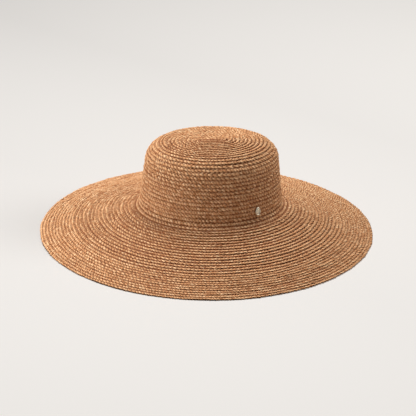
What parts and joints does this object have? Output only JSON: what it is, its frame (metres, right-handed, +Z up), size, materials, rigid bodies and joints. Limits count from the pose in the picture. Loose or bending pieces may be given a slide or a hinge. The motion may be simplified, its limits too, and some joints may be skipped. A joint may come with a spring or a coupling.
{
  "type": "raffia sun hat",
  "caption": "Wide-brimmed sun hat of sewn raffia braid with a flat-topped crown, a gently sloping brim and a small oval metal pin.",
  "frame": {"origin": "on the surface that the brim's edge rests on, under the middle of the brim's outline", "axes": "+Z up through the crown, +X along the length of the head oval, +Y across it"},
  "size_m": [0.462, 0.444, 0.1348],
  "materials": {
    "raffia": "tan sewn raffia braid, matt with a soft sheen on each strand",
    "pin_metal": "polished pale gold metal"
  },
  "bodies": {
    "root": {"crown_tip": "raffia", "crown_side": "raffia", "brim": "raffia", "side_pin": "pin_metal", "pin_keeper": "pin_metal"}
  },
  "joints": []
}
